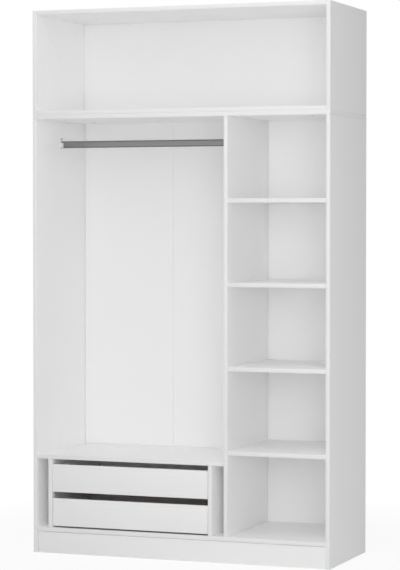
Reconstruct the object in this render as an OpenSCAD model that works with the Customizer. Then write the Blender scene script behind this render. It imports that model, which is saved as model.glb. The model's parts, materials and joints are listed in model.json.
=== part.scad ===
/* [Overall] */
// Width of the wardrobe
body_w = 1350; // [1200:10:1500]
// Depth of the wardrobe, its back included
body_d = 520; // [480:5:600]
// Height of the lower cabinet
cabinet_h = 1900; // [1850:10:2100]
// Height of the top box
top_box_h = 450; // [300:10:600]

/* [Boards] */
// Thickness of the carcass boards
board_t = 18; // [16:1:20]
// Thickness of the hardboard backs
back_t = 2.8; // [2.5:0.1:4]
// Thickness of the tape that joins two leaves of the back
tape_t = 0.2; // [0.1:0.1:0.4]
// Width of the joining tape
tape_w = 40; // [25:1:60]
// Open seam between two leaves of the back
seam_w = 1; // [0.5:0.1:2]
// How far a back stays inside the outline of its carcass
back_margin = 1; // [0.5:0.5:3]

/* [Lower cabinet] */
// Height of the plinth
plinth_h = 94; // [70:1:130]
// How far the plinths stand back from the front and the rear
plinth_recess = 5; // [2:1:20]
// Clear width of the shelf column
column_w = 432; // [350:1:500]
// Distance from one shelf to the next
shelf_pitch = 354; // [300:1:360]

/* [Drawer bay] */
// Clear width of the pocket on each side of the drawers
pocket_w = 52.5; // [35:0.5:70]
// Height of a drawer front
front_h = 120; // [100:1:150]
// How far the drawer fronts stand back from the front edges
front_recess = 4; // [0:0.5:8]
// Gap at each end of a drawer front
front_gap = 2.5; // [1.5:0.5:4]
// Gap under the lower drawer front
gap_below = 7.5; // [4:0.5:10]
// Finger gap between the two drawer fronts
gap_between = 28; // [22:1:40]
// Gap over the upper drawer front
gap_above = 22.5; // [10:0.5:40]

/* [Drawer boxes] */
// Thickness of the drawer sides and backs
drawer_board_t = 16; // [15:1:17]
// How far a drawer side stands above the lower edge of its front
drawer_side_up = 12; // [8:1:14]
// How far a drawer side ends below the upper edge of its front
drawer_side_down = 8; // [4:1:14]
// Room between a drawer's back and the wardrobe's back
drawer_rear_room = 45; // [20:1:90]
// Thickness of the drawer bottoms
drawer_bottom_t = 3; // [2.5:0.1:4]
// Depth of the groove that holds a drawer bottom
groove_d = 6; // [4:0.5:8]
// Height of the groove above the lower edge of the drawer sides
groove_up = 10; // [8:1:14]

/* [Drawer runners] */
// Room for a runner on each side of a drawer
runner_gap = 12.5; // [12.5:0.1:13.5]
// Thickness of the runner steel
sheet_t = 1.2; // [1:0.1:1.4]
// Travel of a drawer from closed to its stop
drawer_travel = 330; // [250:5:350]
// Radius of a runner roller
roller_r = 8.6; // [7.5:0.1:9.5]
// Radius of the pin that a roller turns on
roller_pin_r = 2; // [1.5:0.1:2.5]
// Width of the flange under a drawer side
shelf_flange_w = 14; // [10:1:15]

/* [Hanging rail] */
// Height of the oval rail
rail_h = 30; // [25:1:32]
// Width of the oval rail
rail_w = 15; // [12:1:18]
// Wall of the oval rail
rail_wall = 1.2; // [0.8:0.1:1.6]
// Distance from the ceiling to the middle of the rail
rail_drop = 102; // [60:1:200]
// Thickness of a rail bracket's plate
bracket_t = 3; // [2.5:0.5:5]
// Width of a rail bracket's plate
bracket_w = 22; // [22:1:32]
// How far a bracket's plate reaches above the rail, with a screw in it
bracket_lug = 16; // [14:1:20]
// Depth of the cup that carries the rail's end
cup_d = 10; // [6:1:16]
// Wall of the cup
cup_wall = 2.4; // [1.6:0.2:3]

/* [Fasteners] */
// Radius of a cam lock
cam_r = 7.5; // [7:0.5:8]
// Length of a cam lock
cam_l = 12.5; // [12:0.5:13]
// Distance from a board's end to the middle of its cam locks
cam_setback = 24; // [22:1:34]
// Radius of a wooden dowel
dowel_r = 4; // [3:0.5:4]
// Length of a wooden dowel
dowel_l = 30; // [25:1:35]
// Length of a housing screw
housing_screw_l = 50; // [40:1:50]

/* [Hidden] */
$fn = 48;

// Running and assembly clearances
fit = 0.1;
running = 0.3;
overcut = 1;

// Outline of the carcass
left_x = -body_w / 2;
right_x = body_w / 2;
front_y = -body_d / 2;
rear_y = body_d / 2;
board_d = body_d - back_t - tape_t;
board_rear_y = front_y + board_d;
board_mid_y = front_y + board_d / 2;
total_h = cabinet_h + top_box_h;

// Faces that bound the compartments
in_left_x = left_x + board_t;
in_right_x = right_x - board_t;
floor_z = plinth_h + board_t;
ceiling_z = cabinet_h - board_t;
divider_right_x = in_right_x - column_w;
divider_left_x = divider_right_x - board_t;
bay_h = gap_below + 2 * front_h + gap_between + gap_above;
bay_ceiling_z = floor_z + bay_h;
bay_top_z = bay_ceiling_z + board_t;
post_left_x = in_left_x + pocket_w;
post_right_x = divider_left_x - pocket_w - board_t;
column_mid_z = (floor_z + ceiling_z) / 2;
door_module = body_w / 3;

// Places along the depth for screws, cams and dowels
edge_inset = 48;
far_y = board_d / 2 - edge_inset;
screws_3 = [board_mid_y - far_y, board_mid_y, board_mid_y + far_y];
screws_2 = [board_mid_y - far_y, board_mid_y + far_y];
dowels_2 = [board_mid_y - far_y / 2, board_mid_y + far_y / 2];
dowels_1 = [board_mid_y];
shelf_inset = 32;
shelf_screws = [board_mid_y - far_y + shelf_inset, board_mid_y + far_y - shelf_inset];
shelf_dowels = [board_mid_y + shelf_inset];
plinth_cam_z = [plinth_h / 2];
plinth_dowel_offset = 28;
plinth_dowel_z = [plinth_h / 2 - plinth_dowel_offset, plinth_h / 2 + plinth_dowel_offset];

// Depth of the holes drilled into a board's face and into its end
face_bore = 12;
end_bore = dowel_l - face_bore + 3 * overcut;
bolt_thread_l = 11;
bolt_thread_r = 2.5;
bolt_shank_r = 3.4;
bolt_neck_r = 1.8;
bolt_bore_r = 4;
screw_core_r = 2.5;
screw_shank_r = 3.5;
screw_head_r = 5;
screw_head_l = 3;
screw_tip_l = 3;
screw_socket_r = 2;
screw_socket_d = 2;
cam_slot = [6, 1.2, 1.5];

// Cam joints of the boards that lie or stand between two panels, each as
// [left face, right face, middle of the board's thickness, turn about X,
//  side of the cams, places of the cams, places of the dowels]
bottom_joint = [in_left_x, in_right_x, floor_z - board_t / 2, 0, -1, screws_3, dowels_2];
bay_joint = [in_left_x, divider_left_x, bay_top_z - board_t / 2, 0, -1, screws_3, dowels_2];
shelf_count = 4;
function shelf_mid_z(n) = column_mid_z + (n - (shelf_count + 1) / 2) * shelf_pitch;
function shelf_joint(n) =
    [divider_right_x, in_right_x, shelf_mid_z(n), 0, -1, shelf_screws, shelf_dowels];
box_bottom_joint = [in_left_x, in_right_x, cabinet_h + board_t / 2, 0, -1, screws_3, dowels_2];
box_top_joint = [in_left_x, in_right_x, total_h - board_t / 2, 0, 1, screws_3, dowels_2];
plinth_front_y = front_y + plinth_recess + board_t / 2;
plinth_rear_y = board_rear_y - plinth_recess - board_t / 2;
plinth_front_joint =
    [in_left_x, in_right_x, plinth_front_y, 90, -1, plinth_cam_z, plinth_dowel_z];
plinth_rear_joint =
    [in_left_x, in_right_x, plinth_rear_y, 90, 1, plinth_cam_z, plinth_dowel_z];
shelf_joints = [for (n = [1:shelf_count]) shelf_joint(n)];
cabinet_joints = concat(
    [bottom_joint, bay_joint, plinth_front_joint, plinth_rear_joint], shelf_joints);
box_joints = [box_bottom_joint, box_top_joint];

// Screwed joints of the upright boards, each as [middle of the upright,
// face that it stands on, 1 for an upright above and -1 for one below,
// places of the screws, places of the dowels]
side_left_top = [left_x + board_t / 2, ceiling_z, -1, screws_3, dowels_2];
side_right_top = [right_x - board_t / 2, ceiling_z, -1, screws_3, dowels_2];
divider_mid_x = divider_left_x + board_t / 2;
divider_top = [divider_mid_x, ceiling_z, -1, screws_3, dowels_2];
divider_foot = [divider_mid_x, floor_z, 1, screws_3, dowels_2];
post_left_foot = [post_left_x + board_t / 2, floor_z, 1, screws_2, dowels_1];
post_right_foot = [post_right_x + board_t / 2, floor_z, 1, screws_2, dowels_1];
post_left_head = [post_left_x + board_t / 2, bay_ceiling_z, -1, [], dowels_2];
post_right_head = [post_right_x + board_t / 2, bay_ceiling_z, -1, [], dowels_2];
top_panel_joints = [side_left_top, side_right_top, divider_top];
floor_joints = [divider_foot, post_left_foot, post_right_foot];
bay_head_joints = [post_left_head, post_right_head];
upright_joints = concat(top_panel_joints, floor_joints, bay_head_joints);

// Screws that tie the top box to the cabinet
connector_inset_x = 90;
connector_inset_y = 100;
connector_x = in_right_x - connector_inset_x;
connector_y = board_rear_y - connector_inset_y;
connector_head_r = 6;
connector_head_t = 1.2;
connector_r = 2.5;
connector_l = board_t + 2;
connector_slot = [5, 1, 0.9];
sleeve_wall = 0.9;
sleeve_l = 2 * board_t - 5;
sleeve_closed_l = 10;
connector_places = [for (x = [-connector_x, connector_x])
    for (y = [2 * board_mid_y - connector_y, connector_y]) [x, y]];

// Drawers
drawer_space_w = post_right_x - post_left_x - board_t;
drawer_mid_x = post_left_x + board_t + drawer_space_w / 2;
front_w = drawer_space_w - 2 * front_gap;
front_face_y = front_y + front_recess;
front_back_y = front_face_y + board_t;
box_w = drawer_space_w - 2 * runner_gap;
box_in_w = box_w - 2 * drawer_board_t;
drawer_side_h = front_h - drawer_side_up - drawer_side_down;
runner_l = board_rear_y - drawer_rear_room - front_back_y;
lower_front_z = floor_z + gap_below;
upper_front_z = lower_front_z + front_h + gap_between;
drawer_bottom_w = box_in_w + 2 * (groove_d - running);
drawer_cam_inset = 20;
drawer_cam_z = [groove_up + drawer_bottom_t + 2 * cam_r, drawer_side_h - drawer_cam_inset];
drawer_screw_inset = 18;
drawer_screw_clear = 22;

// Runners, measured from the face of the post and from the lower edge of the
// drawer side
member_start = 2;
web_play = 1.1;
track_x = runner_gap - sheet_t - web_play;
lip_h = 3;
drawer_web_h = 2 * roller_r + 0.8;
drawer_screw_z = [drawer_web_h + drawer_screw_clear, drawer_side_h - drawer_screw_inset];
drawer_track_z = drawer_web_h - sheet_t;
front_roller_z = drawer_track_z - running - roller_r;
cabinet_track_z = -0.4;
rear_roller_z = cabinet_track_z + running + roller_r;
cabinet_top_z = drawer_web_h + running;
roller_x = sheet_t + web_play;
roller_w = track_x - sheet_t - running - roller_x;
roller_room = 2;
front_end_room = 3.4;
rear_end_room = 5.4;
guard_setback = 8;
front_roller_y = member_start + roller_r + front_end_room;
rear_roller_y = runner_l - roller_r - rear_end_room;
track_start = front_roller_y + roller_r + roller_room;
guard_start = track_start + guard_setback;
drawer_track_end = rear_roller_y - roller_r - roller_room;
stop_l = 6;
stop_h = 3;
stop_y = rear_roller_y - drawer_travel - roller_r - running;
rivet_r = 3.2;
rivet_t = 0.6;
rivet_taper = 0.6;
pin_play = 0.2;
runner_screw_r = 2;
runner_screw_head_r = 3.6;
runner_screw_l = sheet_t + drawer_board_t - groove_d - pin_play;
cabinet_screw_front = 60;
cabinet_screw_rear = 50;
cabinet_screw_y = [cabinet_screw_front, runner_l / 2, runner_l - cabinet_screw_rear];
drawer_screw_front = 45;
drawer_screw_rear = 90;
drawer_screw_y = [drawer_screw_front, runner_l - drawer_screw_rear];
runner_screw_z = drawer_web_h / 2;

// Rail
rail_z = ceiling_z - rail_drop;
rail_y = board_mid_y;
bracket_top = rail_h / 2 + bracket_lug;
bracket_low = rail_h / 2 + cup_wall + 1;
bracket_screw_inset = 6;
bracket_screw_z = [0, bracket_top - bracket_screw_inset];
bracket_screw_r = 1.75;
bracket_screw_head_r = 3.4;
bracket_screw_l = 16;

board_colour = "white";
hardboard_colour = "whitesmoke";
steel_colour = "silver";
zinc_colour = "gainsboro";
beech_colour = "burlywood";
nylon_colour = "ghostwhite";

// A box from one corner to the opposite one
module block(low, high) {
    translate(low) cube(high - low);
}

// A turned piece along +Z from the points [radius, height] of its outline
module turned(outline) {
    rotate_extrude() polygon(outline);
}

// Cam lock, its head at z = 0 and its body below, with the pocket for the
// bolt's head at the middle of a board of the thickness t
module cam_lock(t) {
    slot_z = -t / 2;
    difference() {
        translate([0, 0, -cam_l + fit]) cylinder(r = cam_r - fit, h = cam_l - fit);
        translate([-cam_r - overcut, 0, slot_z]) rotate([0, 90, 0])
            cylinder(r = bolt_bore_r, h = cam_r + overcut + bolt_bore_r / 2);
        for (turn = [0, 90]) rotate(turn)
            translate([-cam_slot[0] / 2, -cam_slot[1] / 2, -cam_slot[2]])
                cube([cam_slot[0], cam_slot[1], cam_slot[2] + overcut]);
    }
}

// Bolt that a cam pulls on, along +X from the face of the panel at x = 0
module cam_bolt() {
    taper = 1;
    head_r = bolt_shank_r - 0.4;
    head_l = 1.2;
    neck_x = cam_setback - cam_r + 1.5 * taper;
    head_x = cam_setback - head_l;
    rotate([0, 90, 0]) turned([
        [0, -bolt_thread_l + fit], [bolt_thread_r - taper, -bolt_thread_l + fit],
        [bolt_thread_r - fit, -bolt_thread_l + fit + taper], [bolt_thread_r - fit, 0],
        [bolt_shank_r, 0], [bolt_shank_r, neck_x - taper],
        [bolt_neck_r, neck_x], [bolt_neck_r, head_x - taper],
        [head_r, head_x], [head_r, cam_setback],
        [bolt_neck_r, cam_setback + taper], [0, cam_setback + taper]
    ]);
}

// Room for a cam, its bolt and its thread
module cam_bores(t, side) {
    translate([cam_setback, 0, side > 0 ? t / 2 - cam_l : -t / 2 - overcut])
        cylinder(r = cam_r, h = cam_l + overcut);
    translate([-overcut, 0, 0]) rotate([0, 90, 0])
        cylinder(r = bolt_bore_r, h = cam_setback + 3 * overcut);
}
module cam_thread_bore() {
    translate([-bolt_thread_l, 0, 0]) rotate([0, 90, 0])
        cylinder(r = bolt_thread_r, h = bolt_thread_l + overcut);
}

// Wooden dowel along +X, with its shorter part in the face of the panel
module dowel() {
    tip = 1;
    low = -face_bore + overcut;
    high = low + dowel_l;
    rotate([0, 90, 0]) turned([
        [0, low], [dowel_r - tip - fit, low], [dowel_r - fit, low + tip],
        [dowel_r - fit, high - tip], [dowel_r - tip - fit, high], [0, high]
    ]);
}
module dowel_bore() {
    translate([-face_bore, 0, 0]) rotate([0, 90, 0])
        cylinder(r = dowel_r, h = face_bore + end_bore);
}

// Housing screw along -Z, its countersunk head flush at z = 0
module housing_screw(t) {
    shank_end = t - screw_tip_l;
    rotate([180, 0, 0]) difference() {
        turned([
            [0, 0], [screw_head_r - fit, 0], [screw_shank_r - fit, screw_head_l],
            [screw_shank_r - fit, shank_end - 1], [screw_core_r - fit, shank_end],
            [screw_core_r - fit, housing_screw_l - screw_tip_l], [0, housing_screw_l]
        ]);
        translate([0, 0, -overcut])
            cylinder(r = screw_socket_r, h = screw_socket_d + overcut, $fn = 6);
    }
}
module housing_screw_bore(t) {
    rotate([180, 0, 0]) union() {
        turned([
            [0, -overcut], [screw_head_r, -overcut], [screw_head_r, 0],
            [screw_shank_r, screw_head_l], [screw_shank_r, t],
            [screw_core_r, t], [screw_core_r, housing_screw_l + overcut],
            [0, housing_screw_l + overcut]
        ]);
    }
}

// Puts its children at one end of a cam joint, +X into the board
module at_joint_end(joint, end, s) {
    x = end < 0 ? joint[0] : joint[1];
    place = joint[3] == 0 ? [x, s, joint[2]] : [x, joint[2], s];
    translate(place) rotate([joint[3], 0, 0])
        mirror([end < 0 ? 0 : 1, 0, 0]) children();
}

// Everything that is drilled for a cam joint
module joint_bores(joint, ends = [-1, 1]) {
    for (end = ends) {
        for (s = joint[5]) at_joint_end(joint, end, s) {
            cam_bores(board_t, joint[4]);
            cam_thread_bore();
        }
        for (s = joint[6]) at_joint_end(joint, end, s) dowel_bore();
    }
}

// Puts its children on the face under or over an upright, +X into the upright
module at_upright(joint, y) {
    translate([joint[0], y, joint[1]]) rotate([0, joint[2] > 0 ? -90 : 90, 0]) children();
}
module upright_bores(joint) {
    for (y = joint[3]) at_upright(joint, y)
        translate([-board_t, 0, 0]) rotate([0, -90, 0]) housing_screw_bore(board_t);
    for (y = joint[4]) at_upright(joint, y) dowel_bore();
}

module connector_bores() {
    for (place = connector_places) translate([place[0], place[1], cabinet_h])
        translate([0, 0, -board_t - overcut])
            cylinder(r = connector_r + 1, h = 2 * (board_t + overcut));
}

// Countersunk screw for thin steel or a bracket, along -X from its flush head
module flush_screw(l, r, head_r) {
    head_l = head_r - r;
    cross = [head_r, 0.8, 1];
    rotate([0, -90, 0]) difference() {
        turned([
            [0, 0], [head_r - fit, 0], [r - fit, head_l],
            [r - fit, l - screw_tip_l], [0, l]
        ]);
        for (turn = [0, 90]) rotate(turn)
            translate([-cross[0] / 2, -cross[1] / 2, -overcut])
                cube([cross[0], cross[1], cross[2] + overcut]);
    }
}
module flush_screw_bore(l, r, head_r) {
    head_l = head_r - r;
    rotate([0, -90, 0]) turned([
        [0, -overcut], [head_r, -overcut], [head_r, 0], [r, head_l], [r, l + fit],
        [0, l + fit]
    ]);
}

// Outline of the oval rail, c wider all round
module oval(c) {
    w = rail_w + 2 * c;
    h = rail_h + 2 * c;
    square([w, h - w], center = true);
    for (side = [-1, 1]) translate([0, side * (h - w) / 2]) circle(d = w);
}

// Puts its children on the panel at one end of the rail, +X away from the
// panel, with the outline's width along Y and its height along Z
module at_rail_end(end) {
    translate([end < 0 ? in_left_x : divider_left_x, rail_y, rail_z])
        mirror([end < 0 ? 0 : 1, 0, 0]) children();
}
module stand_up(l) {
    rotate([90, 0, 90]) linear_extrude(l) children();
}
module bracket_screw_bores(end) {
    at_rail_end(end) for (z = bracket_screw_z) translate([bracket_t, 0, z])
        flush_screw_bore(bracket_screw_l, bracket_screw_r, bracket_screw_head_r);
}

// Puts its children at a runner: +X from the post to the drawer, +Y to the
// rear from the back of the drawer front, z = 0 at the drawer side's edge
module at_runner(side, front_z) {
    translate([drawer_mid_x + side * drawer_space_w / 2, front_back_y,
            front_z + drawer_side_up])
        mirror([side < 0 ? 0 : 1, 0, 0]) children();
}
module along_y(start, end) {
    translate([0, end, 0]) rotate([90, 0, 0]) linear_extrude(end - start) children();
}
module cabinet_runner_screw_places() {
    for (y = cabinet_screw_y) translate([sheet_t, y, runner_screw_z]) children();
}
module drawer_runner_screw_places() {
    for (y = drawer_screw_y) translate([runner_gap - sheet_t, y, runner_screw_z])
        mirror([1, 0, 0]) children();
}
module post_screw_bores(side) {
    for (front_z = [lower_front_z, upper_front_z]) at_runner(side, front_z)
        cabinet_runner_screw_places()
            flush_screw_bore(runner_screw_l, runner_screw_r, runner_screw_head_r);
}

// Boards of the lower cabinet
module side_panel(end) {
    x = end < 0 ? left_x : in_right_x;
    top_joint = end < 0 ? side_left_top : side_right_top;
    difference() {
        block([x, front_y, 0], [x + board_t, board_rear_y, ceiling_z]);
        for (joint = cabinet_joints)
            if (joint[end < 0 ? 0 : 1] == (end < 0 ? in_left_x : in_right_x))
                joint_bores(joint, [end]);
        upright_bores(top_joint);
        if (end < 0) bracket_screw_bores(-1);
    }
}
module side_panel_left() { color(board_colour) side_panel(-1); }
module side_panel_right() { color(board_colour) side_panel(1); }

module divider_panel() {
    color(board_colour) difference() {
        block([divider_left_x, front_y, floor_z], [divider_right_x, board_rear_y, ceiling_z]);
        joint_bores(bay_joint, [1]);
        for (joint = shelf_joints) joint_bores(joint, [-1]);
        upright_bores(divider_top);
        upright_bores(divider_foot);
        bracket_screw_bores(1);
    }
}
module bottom_panel() {
    color(board_colour) difference() {
        block([in_left_x, front_y, plinth_h], [in_right_x, board_rear_y, floor_z]);
        joint_bores(bottom_joint);
        for (joint = floor_joints) upright_bores(joint);
    }
}
module cabinet_top_panel() {
    color(board_colour) difference() {
        block([left_x, front_y, ceiling_z], [right_x, board_rear_y, cabinet_h]);
        for (joint = top_panel_joints) upright_bores(joint);
        connector_bores();
    }
}
module plinth(mid_y, joint) {
    difference() {
        block([in_left_x, mid_y - board_t / 2, 0], [in_right_x, mid_y + board_t / 2, plinth_h]);
        joint_bores(joint);
        brace_dowel_bores();
    }
}
module plinth_front() { color(board_colour) plinth(plinth_front_y, plinth_front_joint); }
module plinth_rear() { color(board_colour) plinth(plinth_rear_y, plinth_rear_joint); }

// Brace under the divider, from one plinth to the other
module at_brace_end(end) {
    y = end < 0 ? plinth_front_y + board_t / 2 : plinth_rear_y - board_t / 2;
    for (z = plinth_dowel_z) translate([divider_mid_x, y, z])
        rotate([0, 0, end < 0 ? 90 : -90]) children();
}
module brace_dowel_bores() {
    for (end = [-1, 1]) at_brace_end(end) dowel_bore();
}
module plinth_brace() {
    color(board_colour) difference() {
        block([divider_left_x, plinth_front_y + board_t / 2, 0],
            [divider_right_x, plinth_rear_y - board_t / 2, plinth_h]);
        brace_dowel_bores();
    }
}

module drawer_bay_top() {
    color(board_colour) difference() {
        block([in_left_x, front_y, bay_ceiling_z], [divider_left_x, board_rear_y, bay_top_z]);
        joint_bores(bay_joint);
        for (joint = bay_head_joints) upright_bores(joint);
    }
}
module drawer_post(x, side, foot, head) {
    difference() {
        block([x, front_y, floor_z], [x + board_t, board_rear_y, bay_ceiling_z]);
        upright_bores(foot);
        upright_bores(head);
        post_screw_bores(side);
    }
}
module drawer_post_left() {
    color(board_colour) drawer_post(post_left_x, -1, post_left_foot, post_left_head);
}
module drawer_post_right() {
    color(board_colour) drawer_post(post_right_x, 1, post_right_foot, post_right_head);
}
module shelf(n) {
    mid_z = shelf_mid_z(n);
    color(board_colour) difference() {
        block([divider_right_x, front_y, mid_z - board_t / 2],
            [in_right_x, board_rear_y, mid_z + board_t / 2]);
        joint_bores(shelf_joint(n));
    }
}

// Backs, nailed on the rear edges, in leaves that meet behind a divider or at
// a taped seam
module back_leaf(x_low, x_high, z_low, z_high) {
    color(hardboard_colour)
        block([x_low, board_rear_y, z_low], [x_high, board_rear_y + back_t, z_high]);
}
cabinet_back_low = plinth_h + back_margin;
cabinet_back_high = cabinet_h - back_margin;
seam_x = left_x + door_module;
module back_panel_left() {
    back_leaf(left_x + back_margin, seam_x - seam_w / 2, cabinet_back_low, cabinet_back_high);
}
module back_panel_middle() {
    back_leaf(seam_x + seam_w / 2, divider_mid_x - seam_w / 2,
        cabinet_back_low, cabinet_back_high);
}
module back_panel_right() {
    back_leaf(divider_mid_x + seam_w / 2, right_x - back_margin,
        cabinet_back_low, cabinet_back_high);
}
module back_joint_tape() {
    color(nylon_colour)
        block([seam_x - tape_w / 2, rear_y - tape_t, cabinet_back_low],
            [seam_x + tape_w / 2, rear_y, cabinet_back_high]);
}

// Top box
module top_box_side(end) {
    x = end < 0 ? left_x : in_right_x;
    difference() {
        block([x, front_y, cabinet_h], [x + board_t, board_rear_y, total_h]);
        for (joint = box_joints) joint_bores(joint, [end]);
    }
}
module top_box_side_left() { color(board_colour) top_box_side(-1); }
module top_box_side_right() { color(board_colour) top_box_side(1); }
module top_box_board(joint) {
    difference() {
        block([in_left_x, front_y, joint[2] - board_t / 2],
            [in_right_x, board_rear_y, joint[2] + board_t / 2]);
        joint_bores(joint);
    }
}
module top_box_bottom() {
    color(board_colour) difference() {
        top_box_board(box_bottom_joint);
        connector_bores();
    }
}
module top_box_top() { color(board_colour) top_box_board(box_top_joint); }
module top_box_back() {
    back_leaf(left_x + back_margin, right_x - back_margin,
        cabinet_h + back_margin, total_h - back_margin);
}

// Rail and its brackets
module hanging_rail() {
    rail_gap = bracket_t + running;
    color(steel_colour) translate([in_left_x + rail_gap, rail_y, rail_z])
        stand_up(divider_left_x - in_left_x - 2 * rail_gap) difference() {
            oval(0);
            oval(-rail_wall);
        }
}
module bracket_plate() {
    low_mid = bracket_w / 2 - bracket_low;
    top_mid = bracket_top - bracket_w / 2;
    translate([-bracket_w / 2, low_mid]) square([bracket_w, top_mid - low_mid]);
    for (mid = [low_mid, top_mid]) translate([0, mid]) circle(d = bracket_w);
}
module rail_bracket(end) {
    color(zinc_colour) difference() {
        at_rail_end(end) {
            stand_up(bracket_t) bracket_plate();
            stand_up(bracket_t + cup_d) difference() {
                oval(cup_wall + fit);
                oval(fit);
                translate([-bracket_w, rail_h / 4]) square([2 * bracket_w, rail_h]);
            }
        }
        bracket_screw_bores(end);
    }
}
module rail_bracket_left() { rail_bracket(-1); }
module rail_bracket_right() { rail_bracket(1); }
module rail_bracket_screws() {
    color(steel_colour) for (end = [-1, 1]) at_rail_end(end) for (z = bracket_screw_z)
        translate([bracket_t, 0, z])
            flush_screw(bracket_screw_l, bracket_screw_r, bracket_screw_head_r);
}

// Fasteners of the carcass
module cam_locks() {
    color(zinc_colour) for (joint = concat(cabinet_joints, box_joints))
        for (end = [-1, 1]) for (s = joint[5]) at_joint_end(joint, end, s)
            translate([cam_setback, 0, joint[4] * board_t / 2])
                rotate([joint[4] > 0 ? 0 : 180, 0, 0]) cam_lock(board_t);
}
module cam_bolts() {
    color(steel_colour) for (joint = concat(cabinet_joints, box_joints))
        for (end = [-1, 1]) for (s = joint[5]) at_joint_end(joint, end, s) cam_bolt();
}
module wooden_dowels() {
    color(beech_colour) {
        for (joint = concat(cabinet_joints, box_joints))
            for (end = [-1, 1]) for (s = joint[6]) at_joint_end(joint, end, s) dowel();
        for (joint = upright_joints) for (y = joint[4]) at_upright(joint, y) dowel();
        for (end = [-1, 1]) at_brace_end(end) dowel();
    }
}
module housing_screws() {
    color(steel_colour) for (joint = upright_joints) for (y = joint[3])
        at_upright(joint, y) translate([-board_t, 0, 0]) rotate([0, -90, 0])
            housing_screw(board_t);
}
module box_connector_sleeves() {
    color(zinc_colour) for (place = connector_places)
        translate([place[0], place[1], ceiling_z - connector_head_t]) difference() {
            turned([
                [0, 0], [connector_head_r, 0], [connector_head_r, connector_head_t],
                [connector_r + sleeve_wall, connector_head_t],
                [connector_r + sleeve_wall, connector_head_t + sleeve_l],
                [0, connector_head_t + sleeve_l]
            ]);
            translate([0, 0, connector_head_t + sleeve_closed_l])
                cylinder(r = connector_r, h = sleeve_l);
        }
}
module box_connector_screws() {
    color(steel_colour) for (place = connector_places)
        translate([place[0], place[1], cabinet_h + board_t]) difference() {
            turned([
                [0, -connector_l], [connector_r - fit, -connector_l],
                [connector_r - fit, 0], [connector_head_r, 0],
                [connector_head_r, connector_head_t / 2],
                [connector_head_r - 1, connector_head_t], [0, connector_head_t]
            ]);
            for (turn = [0, 90]) rotate(turn)
                translate([-connector_slot[0] / 2, -connector_slot[1] / 2,
                        connector_head_t - connector_slot[2]])
                    cube([connector_slot[0], connector_slot[1], connector_head_t]);
        }
}

// Cabinet member of a runner: a channel with a track below, a guard flange
// above, a riveted pin for the front roller and stops for the rear one
module cabinet_runner_profile() {
    low = cabinet_track_z - sheet_t;
    translate([0, low]) square([sheet_t, cabinet_top_z + sheet_t - low]);
}
module cabinet_track_profile() {
    low = cabinet_track_z - sheet_t;
    translate([0, low]) square([track_x, sheet_t]);
    translate([track_x - sheet_t, low]) square([sheet_t, lip_h]);
}
module cabinet_guard_profile() {
    translate([0, cabinet_top_z]) square([track_x, sheet_t]);
}
module cabinet_runner(side, front_z) {
    low = cabinet_track_z - sheet_t;
    end = runner_l + member_start;
    color(board_colour) at_runner(side, front_z) difference() {
        union() {
            along_y(member_start, end) cabinet_runner_profile();
            along_y(track_start, end) cabinet_track_profile();
            along_y(guard_start, end) cabinet_guard_profile();
            // Front stop, a hump pressed up from the track
            translate([0, stop_y - stop_l, low])
                cube([track_x - sheet_t, stop_l, sheet_t + stop_h]);
            // Rear stop, a tab folded up behind the roller
            translate([0, rear_roller_y + roller_r + running, low])
                cube([track_x - sheet_t, sheet_t, cabinet_top_z - low]);
            roller_pin(front_roller_y, front_roller_z, sheet_t, 1);
        }
        cabinet_runner_screw_places()
            flush_screw_bore(runner_screw_l, runner_screw_r, runner_screw_head_r);
    }
}
module runner_upper_left() { cabinet_runner(-1, upper_front_z); }
module runner_upper_right() { cabinet_runner(1, upper_front_z); }
module runner_lower_left() { cabinet_runner(-1, lower_front_z); }
module runner_lower_right() { cabinet_runner(1, lower_front_z); }

// Riveted pin from the face of a member at x = from, in the direction dir,
// with a shoulder up to the roller and a head behind it
module roller_pin(y, z, from, dir) {
    low = roller_x - pin_play;
    high = roller_x + roller_w + pin_play;
    near = dir > 0 ? low : high;
    far = dir > 0 ? high : low;
    translate([from, y, z]) rotate([0, dir * 90, 0]) turned([
        [0, 0], [rivet_r, 0], [rivet_r, dir * (near - from)],
        [roller_pin_r, dir * (near - from)], [roller_pin_r, dir * (far - from)],
        [rivet_r, dir * (far - from)], [rivet_r, dir * (far - from) + rivet_t / 2],
        [rivet_r - rivet_taper, dir * (far - from) + rivet_t],
        [0, dir * (far - from) + rivet_t]
    ]);
}
module roller(y, z) {
    rim = 0.8;
    dish = 0.8;
    hub_r = roller_pin_r + 1.6;
    tyre_r = roller_r - 1.8;
    translate([roller_x, y, z]) rotate([0, 90, 0]) turned([
        [roller_pin_r + fit, 0], [hub_r, 0], [hub_r, dish], [tyre_r, dish],
        [tyre_r, 0], [roller_r - rim, 0], [roller_r, rim],
        [roller_r, roller_w - rim], [roller_r - rim, roller_w],
        [tyre_r, roller_w], [tyre_r, roller_w - dish],
        [hub_r, roller_w - dish], [hub_r, roller_w], [roller_pin_r + fit, roller_w]
    ]);
}
module front_rollers(front_z) {
    color(nylon_colour) for (side = [-1, 1]) at_runner(side, front_z)
        roller(front_roller_y, front_roller_z);
}
module upper_front_rollers() { front_rollers(upper_front_z); }
module lower_front_rollers() { front_rollers(lower_front_z); }
module runner_screws() {
    color(steel_colour) for (side = [-1, 1])
        for (front_z = [lower_front_z, upper_front_z]) at_runner(side, front_z)
            cabinet_runner_screw_places()
                flush_screw(runner_screw_l, runner_screw_r, runner_screw_head_r);
}

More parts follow.
